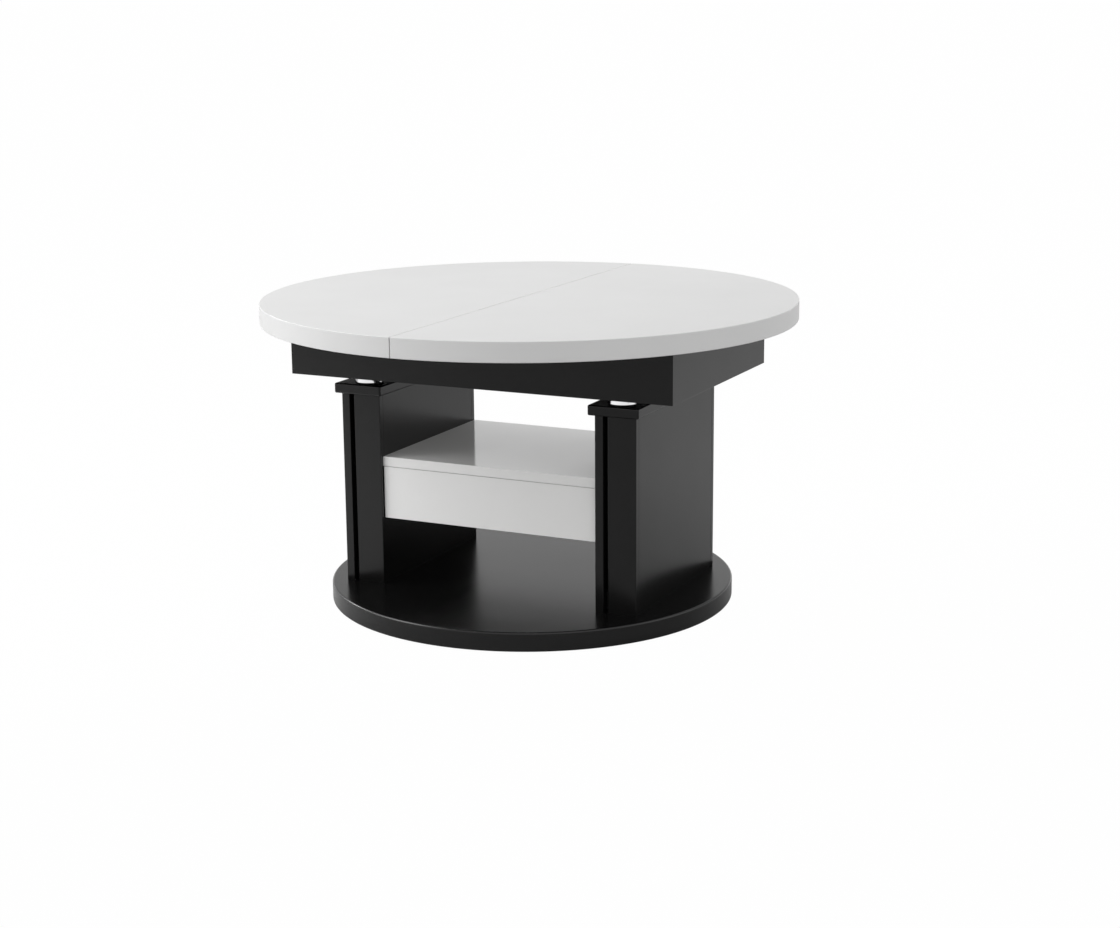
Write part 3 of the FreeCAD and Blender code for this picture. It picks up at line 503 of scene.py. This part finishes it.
class TABLE_OT_half_tops(bpy.types.Operator):
    """Make the two lacquered halves of the round top, and finish the leaves and seam pins"""

    bl_idname = "table.half_tops"
    bl_label = "Half Tops"

    def execute(self, context):
        edges = context.scene.table_edges
        for side, sign in zip(SIDES, (-1, 1)):
            node = f"{side}_half_top"
            low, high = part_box(node)
            seam = low.x if sign > 0 else high.x
            profile = rounded_rim(high.y, low.z, high.z, edges.top_round, edges.round_steps)
            shape = turned(profile, edges.disc_steps)
            everything = shape.verts[:] + shape.edges[:] + shape.faces[:]
            cut = bmesh.ops.bisect_plane(
                shape, geom=everything, plane_co=(seam + sign * edges.seam_open, 0, 0),
                plane_no=(sign, 0, 0), clear_inner=True)
            border = [item for item in cut["geom_cut"] if isinstance(item, bmesh.types.BMEdge)]
            bmesh.ops.contextual_create(shape, geom=border)
            ease(shape, border, edges.seam_break, edges.ease_steps)
            dress(node, shape)
        paint("lower_half_leaf", "upper_half_leaf", "seam_pins")
        return {"FINISHED"}


class TABLE_OT_apron(bpy.types.Operator):
    """Make the four mitred apron boards with eased long edges, and finish what they carry"""

    bl_idname = "table.apron"
    bl_label = "Apron"

    def execute(self, context):
        edges = context.scene.table_edges
        for name in ENDS:
            low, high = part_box(f"apron_{name}")
            mitre = high.y - low.y
            outer, inner = (low.y, high.y) if name == "front" else (high.y, low.y)
            outline = [(low.x, outer), (high.x, outer), (high.x - mitre, inner), (low.x + mitre, inner)]
            self.dress_board(f"apron_{name}", outline, (1, 0, 0), edges)
        for name in SIDES:
            low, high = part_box(f"apron_{name}")
            mitre = high.x - low.x
            outer, inner = (low.x, high.x) if name == "left" else (high.x, low.x)
            outline = [(outer, low.y), (outer, high.y), (inner, high.y - mitre), (inner, low.y + mitre)]
            self.dress_board(f"apron_{name}", outline, (0, 1, 0), edges)
        paint("frame_board", "slip_strips")
        return {"FINISHED"}

    @staticmethod
    def dress_board(node, outline, along, edges):
        """A board on its plan; only the edges that run along it are eased, so the mitres stay closed."""
        low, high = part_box(node)
        shape = prism(outline, low.z, high.z)
        ease(shape, edges_along(shape, along), edges.apron_ease, edges.ease_steps)
        dress(node, shape)


class TABLE_OT_base(bpy.types.Operator):
    """Make the round base plate and the glides under it"""

    bl_idname = "table.base"
    bl_label = "Base Plate"

    def execute(self, context):
        edges = context.scene.table_edges
        low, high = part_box("base_plate")
        profile = rounded_rim(high.y, low.z, high.z, edges.base_round, edges.round_steps)
        dress("base_plate", turned(profile, edges.disc_steps))

        fixings = context.scene.table_fixings
        low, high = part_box("base_glides")
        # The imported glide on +X gives the radius of all of them.
        spots = [vertex.co for vertex in frame["nodes"]["base_glides"].data.vertices]
        first = [spot for spot in spots if spot.x > high.x / 2 and abs(spot.y) < high.x / 4]
        radius = max(spot.y for spot in first)
        glides = {"Circle": high.x - radius, "Radius": radius, "Taper": fixings.glide_taper,
                  "Height": high.z - low.z, "Count": fixings.glide_count}
        piece = grown("base_glides_finished", [(0, 0, low.z)], glide_tree(), glides, "base", "nylon")
        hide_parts("base_glides")
        return {"FINISHED"}


class TABLE_OT_casings(bpy.types.Operator):
    """Make the boards of the two casings with eased upright edges, and finish their cap plates"""

    bl_idname = "table.casings"
    bl_label = "Casings"

    def execute(self, context):
        edges = context.scene.table_edges
        for side in SIDES:
            for name in ("long_panel", "short_panel"):
                node = f"{side}_{name}"
                shape = plain_board(node)
                ease(shape, edges_along(shape, (0, 0, 1)), edges.board_ease, edges.ease_steps)
                dress(node, shape)
            for end in ENDS:
                self.dress_end_board(f"{side}_{end}_board", end, edges)
            paint(f"{side}_cap")
        return {"FINISHED"}

    @staticmethod
    def dress_end_board(node, end, edges):
        """A front or rear board, rounded at the open slot and eased at its other outer corner."""
        low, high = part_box(node)
        face = low.y if end == "front" else high.y
        shape = plain_board(node)
        slot_side = (low.x, edges.slot_round, edges.slot_steps)
        other_side = (high.x, edges.board_ease, edges.ease_steps)
        for x, width, steps in (slot_side, other_side):
            spot = Vector((x, face))
            uprights = edges_along(shape, (0, 0, 1))
            corner = [edge for edge in uprights if (edge.verts[0].co.xy - spot).length < SAME_SPOT]
            ease(shape, corner, width, steps)
        dress(node, shape)


class TABLE_OT_columns(bpy.types.Operator):
    """Make the chromed column tubes, and finish the bushes, flanges, feet and gas springs"""

    bl_idname = "table.columns"
    bl_label = "Lifting Columns"

    def execute(self, context):
        edges = context.scene.table_edges
        for side in SIDES:
            bushes = bmesh.new()
            for end in ENDS:
                node = f"{side}_{end}_column"
                low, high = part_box(node)
                centre = ((low + high) / 2).xy
                radius = (high.x - low.x) / 2
                bore = radius - edges.column_wall
                profile = [(bore, low.z), (radius, low.z), (radius, high.z), (bore, high.z)]
                dress(node, turned(profile, edges.tube_steps, centre, tube=True))
                turned(self.collar(side, radius, edges), edges.tube_steps, centre, tube=True, shape=bushes)
            dress(f"{side}_guide_bushes", bushes)
            paint(f"{side}_column_flanges", f"{side}_lift_foot", f"{side}_gas_cylinder", f"{side}_gas_rod")
        return {"FINISHED"}

    @staticmethod
    def collar(side, column_radius, edges):
        """The profile of a guide bush in the cap plate and its collar above it, with a rounded lip."""
        low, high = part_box(f"{side}_guide_bushes")
        cap_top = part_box(f"{side}_cap")[1].z
        rim = (high.x - low.x) / 2
        bore = column_radius + edges.bush_play
        bush = bore + edges.bush_wall
        lip = edges.collar_round
        shoulder = rim - edges.collar_taper - lip
        bends = [math.pi / 2 * i / edges.round_steps for i in range(edges.round_steps + 1)]
        crown = [(shoulder + lip * math.cos(b), high.z - lip + lip * math.sin(b)) for b in bends]
        return [(bore, low.z), (bush, low.z), (bush, cap_top), (rim, cap_top), *crown, (bore, high.z)]


class TABLE_OT_drawer(bpy.types.Operator):
    """Make the gloss white shelf, back panel and drawer front, and finish the drawer box and its rails"""

    bl_idname = "table.drawer"
    bl_label = "Shelf and Drawer"

    def execute(self, context):
        edges = context.scene.table_edges
        for node in ("shelf_panel", "back_panel", "drawer_front"):
            shape = plain_board(node)
            ease(shape, shape.edges[:], edges.gloss_ease, edges.ease_steps)
            dress(node, shape)
        paint("drawer_left_side", "drawer_right_side", "drawer_back", "drawer_bottom")
        for side in SIDES:
            paint(f"{side}_drawer_rail", f"{side}_drawer_runner")
        return {"FINISHED"}


class TABLE_OT_slides(bpy.types.Operator):
    """Finish the racks, pinions, channels and brackets that open the top"""

    bl_idname = "table.slides"
    bl_label = "Slides"

    def execute(self, context):
        for end in ENDS:
            paint(f"{end}_slide_channels", f"{end}_pinion", f"{end}_pinion_pin")
            for side in SIDES:
                paint(f"{side}_{end}_rack")
        for side in SIDES:
            paint(f"{side}_brackets")
        return {"FINISHED"}


def grown(name, spots, tree, sizes, body, slot):
    """A piece that a node tree grows from points, as a plain mesh."""
    seeds = bpy.data.meshes.new(f"{name}_seeds")
    seeds.from_pydata(spots, [], [])
    seed = bpy.data.objects.new(f"{name}_seed", seeds)
    bpy.context.scene.collection.objects.link(seed)
    modifier = seed.modifiers.new("Grow", "NODES")
    modifier.node_group = tree
    values = {**sizes, "Material": finish_of(slot)}
    for socket in tree.interface.items_tree:
        if socket.name in values:
            modifier[socket.identifier] = values[socket.name]
    ready = seed.evaluated_get(bpy.context.evaluated_depsgraph_get())
    mesh = bpy.data.meshes.new_from_object(ready)
    mesh.name = name
    bpy.data.objects.remove(seed)
    return add_piece(name, mesh, body, slot)


def close_tree(tree, repeats, given, made):
    """Ends a growing tree in real meshes of one material."""
    real = add_node(tree, "GeometryNodeRealizeInstances", inputs={"Geometry": repeats})
    done = add_node(tree, "GeometryNodeSetMaterial", inputs={
        "Geometry": real.outputs[0], "Material": given["Material"]})
    tree.links.new(done.outputs[0], made["Geometry"])


def glide_tree():
    """A ring of round glides that stand on each seed point, drawn in at the floor."""
    inputs = {"Geometry": "Geometry", "Circle": "Float", "Radius": "Float", "Taper": "Float",
              "Height": "Float", "Count": "Int", "Material": "Material"}
    tree, given, made = new_group("Glide Ring", "GeometryNodeTree", inputs, {"Geometry": "Geometry"})
    foot = calculate(tree, "SUBTRACT", given["Radius"], given["Taper"])
    glide = add_node(tree, "GeometryNodeMeshCone", inputs={
        "Vertices": 48, "Radius Top": given["Radius"], "Radius Bottom": foot, "Depth": given["Height"]})
    smooth = add_node(tree, "GeometryNodeSetShadeSmooth", inputs={
        "Geometry": glide.outputs["Mesh"], "Selection": glide.outputs["Side"]})
    ring = add_node(tree, "GeometryNodeMeshCircle", inputs={
        "Vertices": given["Count"], "Radius": given["Circle"]})
    glides = add_node(tree, "GeometryNodeInstanceOnPoints", inputs={
        "Points": ring.outputs["Mesh"], "Instance": smooth.outputs[0]})
    rings = add_node(tree, "GeometryNodeInstanceOnPoints", inputs={
        "Points": given["Geometry"], "Instance": glides.outputs[0]})
    close_tree(tree, rings.outputs[0], given, made)
    return tree


def screw_tree():
    """Screw heads that hang from each seed point, each with a cross recess turned its own way."""
    inputs = {"Geometry": "Geometry", "Diameter": "Float", "Height": "Float", "Recess Length": "Float",
              "Recess Width": "Float", "Material": "Material"}
    tree, given, made = new_group("Screw Heads", "GeometryNodeTree", inputs, {"Geometry": "Geometry"})
    radius = calculate(tree, "MULTIPLY", given["Diameter"], 0.5)
    crown = calculate(tree, "MULTIPLY", radius, HEAD_CROWN_SHARE)
    head = add_node(tree, "GeometryNodeMeshCone", inputs={
        "Vertices": 24, "Radius Top": radius, "Radius Bottom": crown, "Depth": given["Height"]})
    recessed = add_node(tree, "GeometryNodeMeshBoolean", {"operation": "DIFFERENCE"}, {
        "Mesh 1": head.outputs["Mesh"]})
    for x, y in (("Recess Length", "Recess Width"), ("Recess Width", "Recess Length")):
        size = add_node(tree, "ShaderNodeCombineXYZ", inputs={
            "X": given[x], "Y": given[y], "Z": given["Height"]})
        arm = add_node(tree, "GeometryNodeMeshCube", inputs={"Size": size.outputs[0]})
        tree.links.new(arm.outputs["Mesh"], recessed.inputs["Mesh 2"])
    drop = add_node(tree, "ShaderNodeCombineXYZ", inputs={
        "Z": calculate(tree, "MULTIPLY", given["Height"], -1)})
    hung = add_node(tree, "GeometryNodeTransform", inputs={
        "Geometry": recessed.outputs["Mesh"], "Translation": drop.outputs[0]})
    turn = add_node(tree, "FunctionNodeRandomValue", {"data_type": "FLOAT_VECTOR"}, {
        "Min": (0, 0, 0), "Max": (0, 0, math.pi / 2), "Seed": 5})
    screws = add_node(tree, "GeometryNodeInstanceOnPoints", inputs={
        "Points": given["Geometry"], "Instance": hung.outputs[0], "Rotation": turn.outputs[0]})
    close_tree(tree, screws.outputs[0], given, made)
    return tree


class TABLE_OT_fixings(bpy.types.Operator):
    """Add the screw heads under the frame board, the half tops and the base plate"""

    bl_idname = "table.fixings"
    bl_label = "Screws"

    def execute(self, context):
        fixings = context.scene.table_fixings
        tree = screw_tree()
        sizes = {"Diameter": fixings.head_diameter, "Height": fixings.head_height,
                 "Recess Length": fixings.recess_length, "Recess Width": fixings.recess_width}
        grown("frame_screws", self.frame_spots(fixings), tree, sizes, "top_frame", "zinc_steel")
        for side in SIDES:
            grown(f"{side}_bracket_screws", self.bracket_spots(side, fixings), tree, sizes, f"{side}_top",
                  "zinc_steel")
        sizes["Height"] = fixings.sunk_height
        grown("base_screws", self.base_spots(fixings), tree, sizes, "base", "zinc_steel")
        return {"FINISHED"}

    @staticmethod
    def frame_spots(fixings):
        """Four in each column flange and three in each gas rod's plate, on their lower faces."""
        spots = []
        for side in SIDES:
            low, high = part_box(f"{side}_column_flanges")
            centre_x = (low.x + high.x) / 2
            reach_x = (high.x - low.x) / 2 - fixings.flange_inset
            for end in ENDS:
                column_low, column_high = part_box(f"{side}_{end}_column")
                centre_y = (column_low.y + column_high.y) / 2
                edge = high.y if centre_y > 0 else low.y
                reach_y = abs(edge - centre_y) - fixings.flange_inset
                spots += [(centre_x + i * reach_x, centre_y + j * reach_y, low.z)
                          for i in (-1, 1) for j in (-1, 1)]
            thirds = [2 * math.pi * i / 3 for i in range(3)]
            circle = fixings.plate_circle
            spots += [(centre_x + circle * math.cos(t), circle * math.sin(t), low.z) for t in thirds]
        return spots

    @staticmethod
    def bracket_spots(side, fixings):
        """Three along each of the two brackets under a half top."""
        low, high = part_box(f"{side}_brackets")
        row = [low.x + (high.x - low.x) * step_share for step_share in BRACKET_SCREW_SHARES]
        lines = (low.y + fixings.bracket_inset, high.y - fixings.bracket_inset)
        return [(x, y, high.z - fixings.bracket_sheet) for x in row for y in lines]

    @staticmethod
    def base_spots(fixings):
        """Two up into each long and short panel, under the base plate."""
        floor_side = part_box("base_plate")[0].z
        spots = []
        for side in SIDES:
            for name in ("long_panel", "short_panel"):
                low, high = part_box(f"{side}_{name}")
                ends = (low.y + fixings.panel_inset, high.y - fixings.panel_inset)
                spots += [((low.x + high.x) / 2, y, floor_side) for y in ends]
        return spots


class TABLE_OT_stage(bpy.types.Operator):
    """Set the table on a pale floor in soft light, with the camera in front and to the right"""

    bl_idname = "table.stage"
    bl_label = "Studio"

    def execute(self, context):
        studio = context.scene.table_studio
        context.scene.view_settings.view_transform = "Standard"
        front = (math.sin(studio.front_bearing), -math.cos(studio.front_bearing), 0)
        self.add_floor(studio, front)
        self.add_room(studio, front)
        self.add_lamp("soft_key", studio.key_place, studio.key_power, studio.lamp_size)
        self.add_lamp("soft_fill", studio.fill_place, studio.fill_power, studio.lamp_size)
        # This lamp is only a glint along the base plate's left edge.
        edge = self.add_lamp("edge_left", studio.edge_place, studio.edge_power, studio.edge_size)
        edge.visible_diffuse = False
        # This one brightens the shelf from behind and isn't mirrored in the lacquer.
        rear = self.add_lamp("low_rear", studio.rear_place, studio.rear_power, studio.rear_size)
        rear.data.spread = studio.rear_spread
        rear.visible_glossy = False
        self.add_camera(studio)
        return {"FINISHED"}

    @staticmethod
    def add_floor(studio, front):
        """A wide floor that shows white with a faint shadow; in reflections and bounced light its colour is
        painted darker towards the front, as painted shade.
        """
        half = studio.floor_size / 2
        mesh = bpy.data.meshes.new("studio_floor")
        corners = [(-half, -half, 0), (half, -half, 0), (half, half, 0), (-half, half, 0)]
        mesh.from_pydata(corners, [], [(0, 1, 2, 3)])
        floor = bpy.data.objects.new("studio_floor", mesh)
        bpy.context.scene.collection.objects.link(floor)

        material = bpy.data.materials.new("studio_paper")
        material.use_nodes = True
        tree = material.node_tree
        tree.nodes.clear()
        mesh.materials.append(material)
        spot = add_node(tree, "ShaderNodeTexCoord").outputs["Object"]
        reach = add_node(tree, "ShaderNodeVectorMath", {"operation": "DOT_PRODUCT"}, {0: spot, 1: front})
        # Painted shade: the floor's colour fades from pale to dark towards the front and right.
        fade = add_node(tree, "ShaderNodeMapRange", {"interpolation_type": "SMOOTHSTEP"}, {
            "Value": reach.outputs["Value"], "From Min": studio.floor_start, "From Max": studio.floor_end,
            "To Min": studio.floor_pale, "To Max": studio.floor_painted_shade})
        paper = add_node(tree, "ShaderNodeBsdfDiffuse", inputs={"Color": fade.outputs["Result"]})
        white = add_node(tree, "ShaderNodeEmission", inputs={"Color": (1, 1, 1, 1), "Strength": 1})
        seen = add_node(tree, "ShaderNodeLightPath").outputs["Is Camera Ray"]
        even = calculate(tree, "MULTIPLY", seen, studio.floor_even)
        upper = add_node(tree, "ShaderNodeMixShader", inputs={
            0: even, 1: paper.outputs[0], 2: white.outputs[0]})
        below = add_node(tree, "ShaderNodeNewGeometry").outputs["Backfacing"]
        clear = add_node(tree, "ShaderNodeBsdfTransparent")
        both = add_node(tree, "ShaderNodeMixShader", inputs={
            0: below, 1: upper.outputs[0], 2: clear.outputs[0]})
        add_node(tree, "ShaderNodeOutputMaterial", inputs={"Surface": both.outputs[0]})

    @staticmethod
    def add_room(studio, front):
        """Walls and ceiling of soft light, brighter towards the front and low down behind."""
        world = bpy.data.worlds.new("studio_room")
        bpy.context.scene.world = world
        world.use_nodes = True
        tree = world.node_tree
        tree.nodes.clear()
        direction = add_node(tree, "ShaderNodeTexCoord").outputs["Generated"]
        ahead = add_node(tree, "ShaderNodeVectorMath", {"operation": "DOT_PRODUCT"}, {
            0: direction, 1: front})
        height = add_node(tree, "ShaderNodeSeparateXYZ", inputs={0: direction}).outputs["Z"]
        behind = add_node(tree, "ShaderNodeMapRange", {"interpolation_type": "SMOOTHSTEP"}, {
            "Value": height, "From Min": studio.glow_low, "From Max": studio.glow_high,
            "To Min": studio.back_glow, "To Max": studio.back_wall})
        level = add_node(tree, "ShaderNodeMapRange", {"interpolation_type": "SMOOTHSTEP"}, {
            "Value": ahead.outputs["Value"], "From Min": studio.front_start, "From Max": 1,
            "To Min": behind.outputs["Result"], "To Max": studio.front_wall})
        walls = add_node(tree, "ShaderNodeBackground", inputs={
            "Color": (1, 1, 1, 1), "Strength": level.outputs["Result"]})
        white = add_node(tree, "ShaderNodeBackground", inputs={"Color": (1, 1, 1, 1), "Strength": 1})
        seen = add_node(tree, "ShaderNodeLightPath").outputs["Is Camera Ray"]
        both = add_node(tree, "ShaderNodeMixShader", inputs={
            0: seen, 1: walls.outputs[0], 2: white.outputs[0]})
        add_node(tree, "ShaderNodeOutputWorld", inputs={"Surface": both.outputs[0]})

    @staticmethod
    def add_lamp(name, spot, watts, size):
        """A square soft lamp aimed at the table."""
        light = bpy.data.lights.new(name, "AREA")
        light.energy = watts
        light.size = size
        lamp = bpy.data.objects.new(name, light)
        bpy.context.scene.collection.objects.link(lamp)
        aim = Vector((0, 0, CAD_BOX[1].z / 2)) - Vector(spot)
        turn = aim.to_track_quat("-Z", "Y").to_matrix().to_4x4()
        lamp.matrix_world = Matrix.Translation(spot) @ turn
        return lamp

    @staticmethod
    def add_camera(studio):
        """The camera, turned and tilted as the photograph was taken."""
        camera = bpy.data.cameras.new("studio_camera")
        camera.sensor_fit = "HORIZONTAL"
        camera.sensor_width = studio.sensor
        camera.lens = studio.lens
        holder = bpy.data.objects.new("studio_camera", camera)
        bpy.context.scene.collection.objects.link(holder)
        turn = Matrix.Rotation(studio.camera_turn, 4, "Z")
        tilt = Matrix.Rotation(studio.camera_tilt, 4, "X")
        roll = Matrix.Rotation(studio.camera_roll, 4, "Z")
        holder.matrix_world = Matrix.Translation(studio.camera_place) @ turn @ tilt @ roll
        bpy.context.scene.camera = holder


class TABLE_PT_sidebar(bpy.types.Panel):
    """The table's pieces and their sizes in the sidebar of the 3D view."""

    bl_idname = "TABLE_PT_sidebar"
    bl_label = "Lifting Table"
    bl_space_type = "VIEW_3D"
    bl_region_type = "UI"
    bl_category = "Table"

    def draw(self, context):
        for operator in OPERATORS:
            self.layout.operator(operator.bl_idname)
        for name in GROUPS:
            group = getattr(context.scene, name)
            box = self.layout.box()
            for label in group.__annotations__:
                box.prop(group, label)


GROUPS = {
    "table_finishes": TableFinishes,
    "table_edges": TableEdges,
    "table_fixings": TableFixings,
    "table_studio": TableStudio,
}
OPERATORS = (
    TABLE_OT_half_tops,
    TABLE_OT_apron,
    TABLE_OT_base,
    TABLE_OT_casings,
    TABLE_OT_columns,
    TABLE_OT_drawer,
    TABLE_OT_slides,
    TABLE_OT_fixings,
    TABLE_OT_stage,
)
CLASSES = (*GROUPS.values(), *OPERATORS, TABLE_PT_sidebar)


def register():
    for kind in CLASSES:
        bpy.utils.register_class(kind)
    for name, group in GROUPS.items():
        setattr(bpy.types.Scene, name, PointerProperty(type=group))


def unregister():
    for name in GROUPS:
        delattr(bpy.types.Scene, name)
    for kind in reversed(CLASSES):
        bpy.utils.unregister_class(kind)


def main():
    register()
    bpy.ops.table.half_tops()
    bpy.ops.table.apron()
    bpy.ops.table.base()
    bpy.ops.table.casings()
    bpy.ops.table.columns()
    bpy.ops.table.drawer()
    bpy.ops.table.slides()
    bpy.ops.table.fixings()
    bpy.ops.table.stage()


if __name__ == "__main__":
    main()
